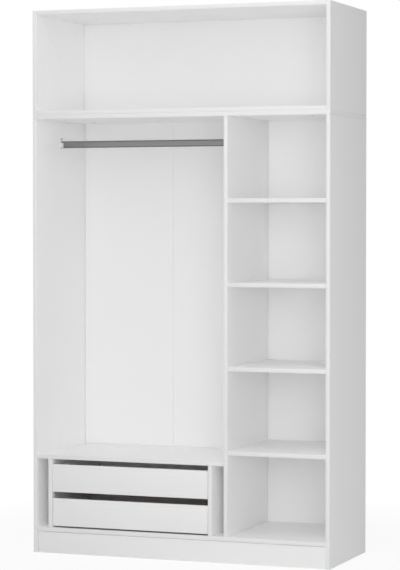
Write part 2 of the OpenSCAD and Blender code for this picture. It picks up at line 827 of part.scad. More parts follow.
// Drawer member of a runner: a flange under the drawer side, a web against
// it, a track that rides on the front roller and a pin for the rear roller
module drawer_runner(side, front_z) {
    web_x = runner_gap - sheet_t;
    color(board_colour) at_runner(side, front_z) difference() {
        union() {
            along_y(running, runner_l) {
                translate([web_x, -sheet_t]) square([sheet_t, drawer_web_h + sheet_t]);
                translate([web_x, -sheet_t]) square([sheet_t + shelf_flange_w, sheet_t]);
            }
            along_y(running, drawer_track_end) translate([roller_x + running, drawer_track_z])
                square([web_x - roller_x, sheet_t]);
            roller_pin(rear_roller_y, rear_roller_z, web_x, -1);
        }
        drawer_runner_screw_places()
            flush_screw_bore(runner_screw_l, runner_screw_r, runner_screw_head_r);
    }
}
module drawer_rollers(front_z) {
    color(nylon_colour) for (side = [-1, 1]) at_runner(side, front_z)
        roller(rear_roller_y, rear_roller_z);
}

// Puts its children on the drawer: origin at the middle of the box, at the
// back of the front and at the lower edge of the sides
module in_drawer(front_z) {
    translate([drawer_mid_x, front_back_y, front_z + drawer_side_up]) children();
}
module drawer_cam_places() {
    for (side = [-1, 1]) for (z = drawer_cam_z)
        translate([side * (box_w - drawer_board_t) / 2, 0, z])
            rotate([0, -side * 90, 0]) rotate(90) children();
}
module drawer_screw_places() {
    for (side = [-1, 1]) for (z = drawer_screw_z)
        translate([side * box_w / 2, runner_l - drawer_board_t / 2, z])
            rotate([0, side * 90, 0]) children();
}
module drawer_bottom_space(c) {
    block([-drawer_bottom_w / 2 - c, -groove_d + running - c, groove_up],
        [drawer_bottom_w / 2 + c, runner_l + c, groove_up + drawer_bottom_t + c]);
}
module drawer_front(front_z) {
    color(board_colour) difference() {
        block([drawer_mid_x - front_w / 2, front_face_y, front_z],
            [drawer_mid_x + front_w / 2, front_back_y, front_z + front_h]);
        in_drawer(front_z) {
            drawer_cam_places() cam_thread_bore();
            drawer_bottom_space(running);
        }
    }
}
module drawer_side(front_z, side) {
    inner = box_w / 2 - drawer_board_t;
    color(board_colour) in_drawer(front_z) difference() {
        block([side < 0 ? -box_w / 2 : inner, 0, 0],
            [side < 0 ? -inner : box_w / 2, runner_l, drawer_side_h]);
        drawer_bottom_space(running);
        drawer_cam_places() cam_bores(drawer_board_t, 1);
        drawer_screw_places() housing_screw_bore(drawer_board_t);
        for (s = [-1, 1]) translate([s * drawer_space_w / 2, 0, 0])
            mirror([s < 0 ? 0 : 1, 0, 0]) drawer_runner_screw_places()
                flush_screw_bore(runner_screw_l, runner_screw_r, runner_screw_head_r);
    }
}
module drawer_back(front_z) {
    color(board_colour) in_drawer(front_z) difference() {
        block([-box_in_w / 2, runner_l - drawer_board_t, groove_up + drawer_bottom_t],
            [box_in_w / 2, runner_l, drawer_side_h]);
        drawer_screw_places() housing_screw_bore(drawer_board_t);
    }
}
module drawer_bottom(front_z) {
    color(hardboard_colour) in_drawer(front_z) drawer_bottom_space(0);
}
module drawer_fasteners(front_z) {
    in_drawer(front_z) {
        color(zinc_colour) drawer_cam_places()
            translate([cam_setback, 0, drawer_board_t / 2]) cam_lock(drawer_board_t);
        color(steel_colour) drawer_cam_places() cam_bolt();
        color(steel_colour) drawer_screw_places() housing_screw(drawer_board_t);
    }
    color(steel_colour) for (side = [-1, 1]) at_runner(side, front_z)
        drawer_runner_screw_places()
            flush_screw(runner_screw_l, runner_screw_r, runner_screw_head_r);
}

side_panel_left();
side_panel_right();
divider_panel();
bottom_panel();
cabinet_top_panel();
plinth_front();
plinth_rear();
plinth_brace();
drawer_bay_top();
drawer_post_left();
drawer_post_right();
shelf(1);  // shelf_1
shelf(2);  // shelf_2
shelf(3);  // shelf_3
shelf(4);  // shelf_4
back_panel_left();
back_panel_middle();
back_panel_right();
back_joint_tape();
top_box_side_left();
top_box_side_right();
top_box_bottom();
top_box_top();
top_box_back();
hanging_rail();
rail_bracket_left();
rail_bracket_right();
rail_bracket_screws();
cam_locks();
cam_bolts();
wooden_dowels();
housing_screws();
box_connector_sleeves();
box_connector_screws();
runner_upper_left();
runner_upper_right();
runner_lower_left();
runner_lower_right();
runner_screws();
upper_front_rollers();
lower_front_rollers();
drawer_front(upper_front_z);  // upper_drawer_front
drawer_side(upper_front_z, -1);  // upper_drawer_side_left
drawer_side(upper_front_z, 1);  // upper_drawer_side_right
drawer_back(upper_front_z);  // upper_drawer_back
drawer_bottom(upper_front_z);  // upper_drawer_bottom
drawer_runner(-1, upper_front_z);  // upper_drawer_runner_left
drawer_runner(1, upper_front_z);  // upper_drawer_runner_right
drawer_rollers(upper_front_z);  // upper_drawer_rollers
drawer_fasteners(upper_front_z);  // upper_drawer_fasteners
drawer_front(lower_front_z);  // lower_drawer_front
drawer_side(lower_front_z, -1);  // lower_drawer_side_left
drawer_side(lower_front_z, 1);  // lower_drawer_side_right
drawer_back(lower_front_z);  // lower_drawer_back
drawer_bottom(lower_front_z);  // lower_drawer_bottom
drawer_runner(-1, lower_front_z);  // lower_drawer_runner_left
drawer_runner(1, lower_front_z);  // lower_drawer_runner_right
drawer_rollers(lower_front_z);  // lower_drawer_rollers
drawer_fasteners(lower_front_z);  // lower_drawer_fasteners
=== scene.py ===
# %% [markdown]
# # A white wardrobe, three doors wide, shown without its doors
# The wardrobe is a carcass of white coated boards: a tall cabinet with a top box on it, a
# hanging space, a column of shelves and two low drawers. Its shape comes from a CAD model
# that is loaded here as a frame. This script doesn't move or resize that model. It adds what
# the eye sees: boards with eased edges, strips and raw cores, nails, finishes, light and a
# camera.
# The colours could be painted in pictures, but every finish is built from procedural nodes
# here, so that it stays sharp at any distance and needs no files.

import json
import math

import bmesh
import bpy
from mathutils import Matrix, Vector

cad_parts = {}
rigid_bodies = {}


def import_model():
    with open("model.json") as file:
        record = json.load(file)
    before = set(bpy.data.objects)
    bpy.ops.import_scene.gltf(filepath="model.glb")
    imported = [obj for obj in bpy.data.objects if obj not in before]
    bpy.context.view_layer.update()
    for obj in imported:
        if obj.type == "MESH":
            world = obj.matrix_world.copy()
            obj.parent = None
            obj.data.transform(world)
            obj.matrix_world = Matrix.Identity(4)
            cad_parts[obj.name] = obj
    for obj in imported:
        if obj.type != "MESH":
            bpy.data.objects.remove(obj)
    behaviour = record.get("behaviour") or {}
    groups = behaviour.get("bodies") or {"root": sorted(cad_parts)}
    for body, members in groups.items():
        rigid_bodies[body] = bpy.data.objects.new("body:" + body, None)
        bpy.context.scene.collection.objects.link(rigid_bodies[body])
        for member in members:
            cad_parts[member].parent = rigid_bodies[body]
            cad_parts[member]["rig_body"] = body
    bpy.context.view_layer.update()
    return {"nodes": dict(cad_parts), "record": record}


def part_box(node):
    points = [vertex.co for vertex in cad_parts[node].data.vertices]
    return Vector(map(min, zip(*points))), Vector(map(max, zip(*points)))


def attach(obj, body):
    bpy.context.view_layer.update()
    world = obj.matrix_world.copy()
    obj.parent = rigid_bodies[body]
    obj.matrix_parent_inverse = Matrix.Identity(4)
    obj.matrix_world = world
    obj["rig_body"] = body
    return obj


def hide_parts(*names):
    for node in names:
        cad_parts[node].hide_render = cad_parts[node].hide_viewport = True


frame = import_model()
nodes = frame["nodes"]
scene = bpy.context.scene
scene.view_settings.view_transform = "Standard"

# %% [markdown]
# ## The camera
# The photo was taken with a long lens from the right, from about 1.45 m above the floor. A
# camera could be placed by eye, but straight furniture shows every degree of error, so this
# one was solved from the edges of the carcass in the photo: the place, the two turns and
# the lens that put all of them where they are in the picture.

# %% Camera
CAMERA_PLACE = (3.4112, -8.8796, 1.4545)
TILT_DOWN = 1.7476
TURN_LEFT = 21.0067
LENS = 138.43

camera_data = bpy.data.cameras.new("camera")
camera_data.lens = LENS
camera = bpy.data.objects.new("camera", camera_data)
scene.collection.objects.link(camera)
camera.location = CAMERA_PLACE
camera.rotation_euler = (math.radians(90 - TILT_DOWN), 0, math.radians(TURN_LEFT))
scene.camera = camera
print("camera at", tuple(camera.location), "lens", camera_data.lens)

# %% [markdown]
# ## A helper for node trees
# Materials and geometry nodes are trees of small steps. They could be wired by hand in the
# editor. In a script, one short function that makes a node, sets its choices and either
# fills an input or links it keeps each tree readable as a list of steps.

# %% Node helper
def add(tree, kind, inputs=None, **settings):
    """A new node: its settings are set, its inputs are filled or linked by name or place."""
    made = tree.nodes.new(kind)
    for key, value in settings.items():
        setattr(made, key, value)
    for key, value in (inputs or {}).items():
        if isinstance(value, bpy.types.NodeSocket):
            tree.links.new(value, made.inputs[key])
        else:
            made.inputs[key].default_value = value
    return made


print("helper ready: add()")

# %% [markdown]
# ## A white background
# The photo shows the wardrobe on pure white. More light would make the background white
# but would also burn out the boards, so only what the camera sees is white: the Light Path
# node tells camera, mirror and glass rays from the rays that carry light. The carried light
# is much dimmer and comes evenly from all around.
# Light inside a white cupboard goes from wall to wall many times before it dies away. Left
# to itself, the renderer drops it after four diffuse bounces, and the inner corners stay
# grey. Brighter lamps would burn out the fronts, so more bounces are allowed instead.

# %% Background
AMBIENT_LEVEL = 0.4
DIFFUSE_BOUNCES = 12


def seen_directly(tree):
    """1 for rays from the camera and for those that a mirror or glass passes on."""
    path = add(tree, "ShaderNodeLightPath")
    mirror = add(tree, "ShaderNodeMath", {0: path.outputs["Is Camera Ray"],
                 1: path.outputs["Is Glossy Ray"]}, operation="MAXIMUM")
    return add(tree, "ShaderNodeMath", {0: mirror.outputs[0],
               1: path.outputs["Is Transmission Ray"]}, operation="MAXIMUM").outputs[0]


world = bpy.data.worlds.new("white_room")
world.use_nodes = True
tree = world.node_tree
tree.nodes.clear()
ambient = add(tree, "ShaderNodeBackground",
              {"Color": (1, 1, 1, 1), "Strength": AMBIENT_LEVEL})
white = add(tree, "ShaderNodeBackground", {"Color": (1, 1, 1, 1), "Strength": 1.0})
sky = add(tree, "ShaderNodeMixShader", {0: seen_directly(tree), 1: ambient.outputs[0],
          2: white.outputs[0]})
add(tree, "ShaderNodeOutputWorld", {"Surface": sky.outputs[0]})
scene.world = world
scene.cycles.diffuse_bounces = DIFFUSE_BOUNCES
print("world ambient", AMBIENT_LEVEL, "diffuse bounces", DIFFUSE_BOUNCES)

# %% [markdown]
# ## The floor
# The wardrobe must stand on something, or it seems to float. On a floor that catches no
# shadow it would float as well, and a plain grey floor would show a horizon. This one is a
# pale diffuse surface. What the camera sees of it is mixed with plain white, which leaves a
# faint shadow under the wardrobe, and further away it turns wholly white.

# %% Floor
FLOOR_PAINT = 0.9
WHITE_SHARE = 0.9
SHADOW_ROOM = 0.9
WHITE_BEYOND = 2.2
HALF_FLOOR = 40

floor_material = bpy.data.materials.new("floor_white")
floor_material.use_nodes = True
tree = floor_material.node_tree
tree.nodes.clear()
paint = add(tree, "ShaderNodeBsdfDiffuse",
            {"Color": (FLOOR_PAINT, FLOOR_PAINT, FLOOR_PAINT, 1)})
glow = add(tree, "ShaderNodeEmission", {"Color": (1, 1, 1, 1), "Strength": 1.0})
place = add(tree, "ShaderNodeTexCoord")
away = add(tree, "ShaderNodeVectorMath", {0: place.outputs["Object"]}, operation="LENGTH")
fade = add(tree, "ShaderNodeMapRange", {"Value": away.outputs["Value"],
           "From Min": SHADOW_ROOM, "From Max": WHITE_BEYOND, "To Min": WHITE_SHARE,
           "To Max": 1.0}, interpolation_type="SMOOTHSTEP")
share = add(tree, "ShaderNodeMath", {0: seen_directly(tree), 1: fade.outputs[0]},
            operation="MULTIPLY")
both = add(tree, "ShaderNodeMixShader", {0: share.outputs[0], 1: paint.outputs[0],
           2: glow.outputs[0]})
add(tree, "ShaderNodeOutputMaterial", {"Surface": both.outputs[0]})

floor_mesh = bpy.data.meshes.new("floor")
floor_corners = [(x * HALF_FLOOR, y * HALF_FLOOR, 0)
                 for x, y in ((-1, -1), (1, -1), (1, 1), (-1, 1))]
floor_mesh.from_pydata(floor_corners, [], [(0, 1, 2, 3)])
floor = bpy.data.objects.new("floor", floor_mesh)
scene.collection.objects.link(floor)
floor_mesh.materials.append(floor_material)
print("floor", floor_material.name, "mixed with white by", WHITE_SHARE)

# %% [markdown]
# ## Studio lamps
# The photo has soft light with no hard shadow. A single lamp would leave the pockets beside
# the drawers black. Large area lamps do what soft boxes do in a studio: the bigger the lamp,
# the softer the edge of its shadow. Lamps in front light the backs of the rooms, the two at
# the sides fill in the side panels, those above light what lies flat, and the one behind
# keeps the rear from going dark. That one is narrower than the wardrobe, so that none of its
# light grazes the sides.
# The levels could be tuned by eye one after the other, but lamps add up: each was rendered
# alone, the sum that comes nearest to the photo on forty patches of board was worked out,
# and only the last few watts were changed after that.

# %% Lamps
LAMPS = {
    # name: (place, aim, size, watts)
    "lamp_by_camera": ((3.4, -8.9, 2.4), (0, 0, 1.2), 3.0, 48),
    "lamp_near": ((1.6, -3.6, 1.9), (0, 0, 1.2), 2.0, 20),
    "lamp_low": ((2.4, -5.0, 1.05), (0, 0, 1.9), 2.0, 20),
    "lamp_left": ((-5.0, -4.0, 2.8), (0, 0, 1.2), 5.0, 8),
    "lamp_right": ((7.0, -1.0, 2.5), (0, 0, 1.2), 4.0, 8),
    "lamp_over_front": ((0.0, -2.4, 4.0), (0, 0, 0.8), 3.0, 25),
    "lamp_top": ((0.0, -1.0, 6.5), (0, 0, 1.2), 4.0, 20),
    "lamp_back": ((0.0, 7.0, 3.0), (0, 0, 1.2), 1.3, 120),
}


def add_lamp(name, place, aim, size, watts):
    """A square area lamp at place that faces aim."""
    data = bpy.data.lights.new(name, "AREA")
    data.shape = "SQUARE"
    data.size = size
    data.energy = watts
    lamp = bpy.data.objects.new(name, data)
    lamp.location = place
    lamp.rotation_euler = (Vector(aim) - Vector(place)).to_track_quat("-Z", "Y").to_euler()
    lamp.visible_camera = False
    scene.collection.objects.link(lamp)
    return lamp


lamps = {name: add_lamp(name, *values) for name, values in LAMPS.items()}
# Seen flat along the sides, the boards would mirror the lamp behind as a pale patch
lamps["lamp_back"].visible_glossy = False
print("lamps:", {name: lamp.data.energy for name, lamp in lamps.items()})

# %% [markdown]
# ## Shared effect: a fine surface
# No real surface is perfectly even. Coated board has a very fine pearl texture and its tone
# drifts a little over a metre. Each material could have its own noise nodes, but a node
# group holds them once, gives out a tone and a bumped normal, and every material sets how
# much of it to use.

# %% Group: fine surface
DRIFT_PER_METRE = 2.3
NOISE_MIDDLE = 0.5


def new_group(name, inputs, outputs):
    """A shader node group with float inputs (name: default) and outputs (name: socket)."""
    group = bpy.data.node_groups.new(name, "ShaderNodeTree")
    for label, value in inputs.items():
        socket = group.interface.new_socket(label, in_out="INPUT",
                                            socket_type="NodeSocketFloat")
        socket.default_value = value
    for label, kind in outputs.items():
        group.interface.new_socket(label, in_out="OUTPUT", socket_type=kind)
    return group, add(group, "NodeGroupInput"), add(group, "NodeGroupOutput")


def link(tree, output, target):
    """Links an output socket to an input socket."""
    tree.links.new(output, target)


fine_surface, taken, given = new_group(
    "fine_surface",
    {"Grain per metre": 900.0, "Depth": 0.00002, "Drift": 0.015},
    {"Tone": "NodeSocketFloat", "Normal": "NodeSocketVector"})
place = add(fine_surface, "ShaderNodeTexCoord")
grain = add(fine_surface, "ShaderNodeTexNoise", {"Vector": place.outputs["Object"],
            "Scale": taken.outputs["Grain per metre"], "Detail": 1.0})
drift = add(fine_surface, "ShaderNodeTexNoise", {"Vector": place.outputs["Object"],
            "Scale": DRIFT_PER_METRE, "Detail": 3.0})
swing = add(fine_surface, "ShaderNodeMath", {0: drift.outputs["Fac"], 1: NOISE_MIDDLE},
            operation="SUBTRACT")
tone = add(fine_surface, "ShaderNodeMath", {0: swing.outputs[0],
           1: taken.outputs["Drift"], 2: 1.0}, operation="MULTIPLY_ADD")
bump = add(fine_surface, "ShaderNodeBump", {"Height": grain.outputs["Fac"],
           "Distance": taken.outputs["Depth"]})
link(fine_surface, tone.outputs[0], given.inputs["Tone"])
link(fine_surface, bump.outputs[0], given.inputs["Normal"])
print("group", fine_surface.name, "with", len(fine_surface.nodes), "nodes")

# %% [markdown]
# ## Shared effect: the seam of an edge band
# A coated board gets its closed edges from a thin strip, glued on and trimmed. Up close one
# sees a hairline where strip and face meet. It could be modelled as a groove, but it has no
# depth worth modelling. The group below finds the distance to the nearest banded side from
# two corners that are stored in each board's mesh, and draws a line at the strip's
# thickness.

# %% Group: band seam
BAND = 0.0006

band_seam, taken, given = new_group(
    "band_seam", {"Band thickness": BAND, "Line width": 0.00012},
    {"Line": "NodeSocketFloat"})
place = add(band_seam, "ShaderNodeTexCoord")
low = add(band_seam, "ShaderNodeAttribute", attribute_name="band_low")
high = add(band_seam, "ShaderNodeAttribute", attribute_name="band_high")
from_low = add(band_seam, "ShaderNodeVectorMath", {0: place.outputs["Object"],
               1: low.outputs["Vector"]}, operation="SUBTRACT")
from_high = add(band_seam, "ShaderNodeVectorMath", {0: high.outputs["Vector"],
                1: place.outputs["Object"]}, operation="SUBTRACT")
nearest = add(band_seam, "ShaderNodeVectorMath", {0: from_low.outputs[0],
              1: from_high.outputs[0]}, operation="MINIMUM")
axes = add(band_seam, "ShaderNodeSeparateXYZ", {0: nearest.outputs[0]})
pair = add(band_seam, "ShaderNodeMath", {0: axes.outputs[0], 1: axes.outputs[1]},
           operation="MINIMUM")
distance = add(band_seam, "ShaderNodeMath", {0: pair.outputs[0], 1: axes.outputs[2]},
               operation="MINIMUM")
off_line = add(band_seam, "ShaderNodeMath", {0: distance.outputs[0],
               1: taken.outputs["Band thickness"]}, operation="SUBTRACT")
off_line = add(band_seam, "ShaderNodeMath", {0: off_line.outputs[0]}, operation="ABSOLUTE")
line = add(band_seam, "ShaderNodeMapRange", {"Value": off_line.outputs[0],
           "From Min": 0.0, "From Max": taken.outputs["Line width"], "To Min": 1.0,
           "To Max": 0.0})
link(band_seam, line.outputs[0], given.inputs["Line"])
print("group", band_seam.name, "with", len(band_seam.nodes), "nodes")

# %% [markdown]
# ## Shared effect: pressed wood chips
# Where a board has no strip, its core of pressed chips shows: under the plinths, along the
# rear edges and inside drilled holes. A picture of chipboard would need a different scale
# for each face. Voronoi cells make flat chips of any shape at real size in all directions,
# so one group serves every face that was cut.

# %% Group: pressed chips
WOBBLES_PER_METRE = 420.0
WOBBLE_REACH = 0.003

pressed_chips, taken, given = new_group(
    "pressed_chips", {"Chips per metre": 260.0}, {"Chip": "NodeSocketFloat",
                                                  "Height": "NodeSocketFloat"})
place = add(pressed_chips, "ShaderNodeTexCoord")
wobble = add(pressed_chips, "ShaderNodeTexNoise", {"Vector": place.outputs["Object"],
             "Scale": WOBBLES_PER_METRE, "Detail": 2.0})
shift = add(pressed_chips, "ShaderNodeVectorMath", {0: wobble.outputs["Color"],
            "Scale": WOBBLE_REACH}, operation="SCALE")
spot = add(pressed_chips, "ShaderNodeVectorMath", {0: place.outputs["Object"],
           1: shift.outputs[0]}, operation="ADD")
cells = add(pressed_chips, "ShaderNodeTexVoronoi", {"Vector": spot.outputs[0],
            "Scale": taken.outputs["Chips per metre"], "Randomness": 1.0})
tones = add(pressed_chips, "ShaderNodeSeparateColor", {"Color": cells.outputs["Color"]})
link(pressed_chips, tones.outputs[0], given.inputs["Chip"])
link(pressed_chips, cells.outputs["Distance"], given.inputs["Height"])
print("group", pressed_chips.name, "with", len(pressed_chips.nodes), "nodes")

# %% [markdown]
# ## Helpers for materials
# Every finish below starts from the same shader, the Principled BSDF, and most of them mix
# two colours by some pattern. Four small functions save those lines again and again: a new
# material with its shader, a mix of two colours, a colour with its tone changed, and a grey.
# Each material also keeps the name that the record gives its finish, which is used further
# down to hand finishes out.

# %% Material helpers
def new_material(name, slot):
    """A material with a Principled shader; slot is the record's name for the finish."""
    material = bpy.data.materials.new(name)
    material.use_nodes = True
    material["slot"] = slot
    tree = material.node_tree
    return material, tree, tree.nodes["Principled BSDF"]


def mixed(tree, share, first, second):
    """A colour between first and second."""
    mix = add(tree, "ShaderNodeMix", data_type="RGBA")
    for place, value in ((0, share), (6, first), (7, second)):
        if isinstance(value, bpy.types.NodeSocket):
            link(tree, value, mix.inputs[place])
        else:
            mix.inputs[place].default_value = value
    return mix.outputs[2]


def toned(tree, colour, tone):
    """A colour made lighter or darker by a tone."""
    return add(tree, "ShaderNodeVectorMath", {0: colour[:3], "Scale": tone},
               operation="SCALE").outputs[0]


def grey(level):
    """A neutral colour."""
    return (level, level, level, 1)


print("helpers ready: new_material(), mixed(), toned(), grey()")

# %% [markdown]
# ## The board's material
# Melamine coated board is white, satin and slightly pearled. One material holds the coated
# face, the strip on the edges and the raw core, because all three belong to one piece of
# board: a number stored on each face of the mesh picks which one shows. Three materials in
# three slots would look the same, but then the seam could not cross from one to the other.
# The strip is a shade darker than the face, as its plastic never matches the coating quite.

# %% Material: white board
COATED, BANDED, CUT = 0.0, 1.0, 2.0
BOARD_WHITE = 0.955
STRIP_TONE = 0.955
SEAM_SHARE = 0.35
SEAM_COLOUR = (0.30, 0.27, 0.24, 1)
DARK_CHIP = (0.30, 0.19, 0.10, 1)
LIGHT_CHIP = (0.64, 0.48, 0.30, 1)
CHIP_DEPTH = 0.0004

white_board, tree, shader = new_material("white_board", "board")
fine = add(tree, "ShaderNodeGroup", {}, node_tree=fine_surface)
seam = add(tree, "ShaderNodeGroup", {}, node_tree=band_seam)
chips = add(tree, "ShaderNodeGroup", {}, node_tree=pressed_chips)
finish = add(tree, "ShaderNodeAttribute", attribute_name="finish")
is_core = add(tree, "ShaderNodeMath", {0: finish.outputs["Fac"], 1: (BANDED + CUT) / 2},
              operation="GREATER_THAN")
is_strip = add(tree, "ShaderNodeMath", {0: finish.outputs["Fac"],
               1: (COATED + BANDED) / 2}, operation="GREATER_THAN")
strip = add(tree, "ShaderNodeMapRange", {"Value": is_strip.outputs[0], "To Min": 1.0,
            "To Max": STRIP_TONE})
tone = add(tree, "ShaderNodeMath", {0: fine.outputs["Tone"], 1: strip.outputs[0]},
           operation="MULTIPLY")
coated = toned(tree, grey(BOARD_WHITE), tone.outputs[0])
line = add(tree, "ShaderNodeMath", {0: seam.outputs["Line"], 1: SEAM_SHARE},
           operation="MULTIPLY")
coated = mixed(tree, line.outputs[0], coated, SEAM_COLOUR)
chip = mixed(tree, chips.outputs["Chip"], DARK_CHIP, LIGHT_CHIP)
link(tree, mixed(tree, is_core.outputs[0], coated, chip), shader.inputs["Base Color"])
rough = add(tree, "ShaderNodeMapRange", {"Value": is_core.outputs[0], "To Min": 0.42,
            "To Max": 0.9})
link(tree, rough.outputs[0], shader.inputs["Roughness"])
shader.inputs["Specular IOR Level"].default_value = 0.3
depth = add(tree, "ShaderNodeMath", {0: is_core.outputs[0], 1: CHIP_DEPTH},
            operation="MULTIPLY")
chip_bump = add(tree, "ShaderNodeBump", {"Height": chips.outputs["Height"],
                "Distance": depth.outputs[0], "Normal": fine.outputs["Normal"]})
link(tree, chip_bump.outputs[0], shader.inputs["Normal"])
print("material", white_board.name, "with", len(tree.nodes), "nodes")

# %% [markdown]
# ## The boards and their banded sides
# A sheet of coated board is sawn into panels, and a strip is glued only to the sides that
# one can see or touch. The rest stays raw. Which side is which could be guessed from where
# it lies, but a cabinet maker writes it in a cutting list, and so does this cell: each board
# with the sides that get a strip.

# %% Cutting list
SIDES = {"-x": (0, 0), "+x": (0, 1), "-y": (1, 0), "+y": (1, 1), "-z": (2, 0), "+z": (2, 1)}
BANDS = {
    # board: its banded sides
    "side_panel_left": "-y", "side_panel_right": "-y", "divider_panel": "-y",
    "bottom_panel": "-y", "cabinet_top_panel": "-x +x -y", "plinth_front": "-x +x +z",
    "plinth_rear": "", "plinth_brace": "", "drawer_bay_top": "-y",
    "drawer_post_left": "-y", "drawer_post_right": "-y", "shelf_1": "-y",
    "shelf_2": "-y", "shelf_3": "-y", "shelf_4": "-y", "top_box_side_left": "-y +z",
    "top_box_side_right": "-y +z", "top_box_bottom": "-y", "top_box_top": "-y",
}
for drawer in ("upper_drawer", "lower_drawer"):
    BANDS[drawer + "_front"] = "-x +x -z +z"
    BANDS[drawer + "_side_left"] = BANDS[drawer + "_side_right"] = "+z"
    BANDS[drawer + "_back"] = "+z"

print("boards:", len(BANDS), "banded sides:", sum(len(words.split()) for words in BANDS.values()))

# %% [markdown]
# ## Easing the edges
# A trimmed strip leaves an edge that is rounded by a millimetre or two. It catches a line of
# light outside, and where two boards meet it leaves the fine dark line that the photo shows
# in each inner corner. A Bevel modifier on the CAD mesh would also round every drilled hole,
# so only the edges that lie along the outline of the board's box are bevelled. Edges on the
# floor stay sharp.

# %% Ease the outline
ARRIS = 0.0016
ON_SIDE = 0.00002
WELD = 0.00001
NEARLY_FLAT = math.radians(0.5)
ON_FLOOR = 0.0005


def sides_of(point, box, reach=ON_SIDE):
    """The sides of the box that the point lies on, as a set of (axis, 0 low or 1 high)."""
    return {(axis, end) for axis in range(3) for end in (0, 1)
            if abs(point[axis] - box[end][axis]) < reach}


def ease_outline(mesh, box):
    """Bevels the edges along the outline of the box and counts them."""
    stored_normals = mesh.attributes.get("custom_normal")
    if stored_normals:
        mesh.attributes.remove(stored_normals)
    work = bmesh.new()
    work.from_mesh(mesh)
    bmesh.ops.remove_doubles(work, verts=work.verts, dist=WELD)
    bmesh.ops.dissolve_limit(work, angle_limit=NEARLY_FLAT, verts=work.verts,
                             edges=work.edges)
    chosen = []
    for edge in work.edges:
        on = sides_of(edge.verts[0].co, box) & sides_of(edge.verts[1].co, box)
        on_floor = SIDES["-z"] in on and box[0].z < ON_FLOOR
        if len(on) > 1 and not on_floor:
            chosen.append(edge)
    bmesh.ops.bevel(work, geom=chosen, offset=ARRIS, segments=2, profile=0.5,
                    affect="EDGES", clamp_overlap=True)
    work.to_mesh(mesh)
    work.free()
    return len(chosen)


print("edges are eased by", ARRIS * 1000, "mm")

# %% [markdown]
# ## Marking the faces
# The material must know what each face of a board is. Materials could be assigned face by
# face, but a number in an attribute keeps one material and lets a formula decide. A face on
# one of the two large sides is coated, a face on or beside a banded side is strip, and all
# others are raw core. Two corners are stored as well, moved far away on the sides without a
# strip, so that the seam is drawn only where there is one.

# %% Mark the faces
BESIDE = 1.01 * ARRIS
SHARP = math.radians(50)
FAR_OFF = 1.0


def mark_faces(mesh, box, banded):
    """Stores what each face shows, and the corners that the seam is measured from."""
    size = [box[1][axis] - box[0][axis] for axis in range(3)]
    thin = size.index(min(size))
    finish = mesh.attributes.new("finish", "FLOAT", "FACE")
    corners = [vertex.co for vertex in mesh.vertices]
    for face in mesh.polygons:
        on = set.intersection(*[sides_of(corners[v], box) for v in face.vertices])
        near = set.union(*[sides_of(corners[v], box, BESIDE) for v in face.vertices])
        face.use_smooth = not on
        if any(axis == thin for axis, end in on):
            finish.data[face.index].value = COATED
        elif near & banded:
            finish.data[face.index].value = BANDED
        else:
            finish.data[face.index].value = CUT
    mesh.set_sharp_from_angle(angle=SHARP)
    for name, end, away in (("band_low", 0, -FAR_OFF), ("band_high", 1, FAR_OFF)):
        corner = [box[end][axis] if (axis, end) in banded else box[end][axis] + away
                  for axis in range(3)]
        stored = mesh.attributes.new(name, "FLOAT_VECTOR", "POINT")
        stored.data.foreach_set("vector", corner * len(mesh.vertices))


print("marks:", {"coated": COATED, "banded": BANDED, "cut": CUT})

# %% [markdown]
# ## Making the boards
# The CAD mesh itself must stay as it is, so each board is a copy that takes its place. The
# copy could be scaled or moved to look better, but then drawers would no longer run clear of
# the posts. It stays at the origin, in the frame of the CAD model, and rides on the same
# body, so a drawer front moves with its drawer. Only the front plinth is trimmed, by 1.8 mm,
# because the photo shows a fine dark line, an open joint, above it and at its left end.

# %% Boards
def new_piece(name, mesh, body, material):
    """An object of its own that rides on a CAD body."""
    piece = bpy.data.objects.new(name, mesh)
    scene.collection.objects.link(piece)
    mesh.materials.clear()
    mesh.materials.append(material)
    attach(piece, body)
    return piece


OPEN_JOINT = 0.0018


def trim_top_and_left(mesh, box):
    """Takes the open joint off the top and the left end, and gives the smaller box."""
    low, high = box[0].copy(), box[1].copy()
    low.x += OPEN_JOINT
    high.z -= OPEN_JOINT
    for vertex in mesh.vertices:
        vertex.co.x = max(vertex.co.x, low.x)
        vertex.co.z = min(vertex.co.z, high.z)
    return low, high


for node, words in BANDS.items():
    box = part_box(node)
    mesh = nodes[node].data.copy()
    mesh.name = node + "_board"
    if node == "plinth_front":
        box = trim_top_and_left(mesh, box)
    eased = ease_outline(mesh, box)
    mark_faces(mesh, box, {SIDES[word] for word in words.split()})
    board = new_piece(node + "_board", mesh, nodes[node]["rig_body"], white_board)
    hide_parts(node)
    print(node, "edges eased:", eased, "faces:", len(mesh.polygons))

# %% [markdown]
# ## Hardboard for the backs and the drawer bottoms
# Thin hardboard is faced with white foil on the side that shows, and its edges are painted
# with it. Its other side is bare brown fibre with the print of the wire mesh it was pressed
# on. Two materials on two faces would do, but the side that faces the room can be read from
# the face's normal, so one material serves leaves that stand and bottoms that lie. The bare
# side gets its colour from fine fibres and, far weaker, from soft clouds.

# %% Material: hardboard
TO_THE_ROOM = (0, -1, 1)
AWAY_FROM_ROOM = -0.5
CLOUD_SHARE = 0.3
DARK_FIBRE = (0.17, 0.085, 0.04, 1)
LIGHT_FIBRE = (0.36, 0.21, 0.11, 1)

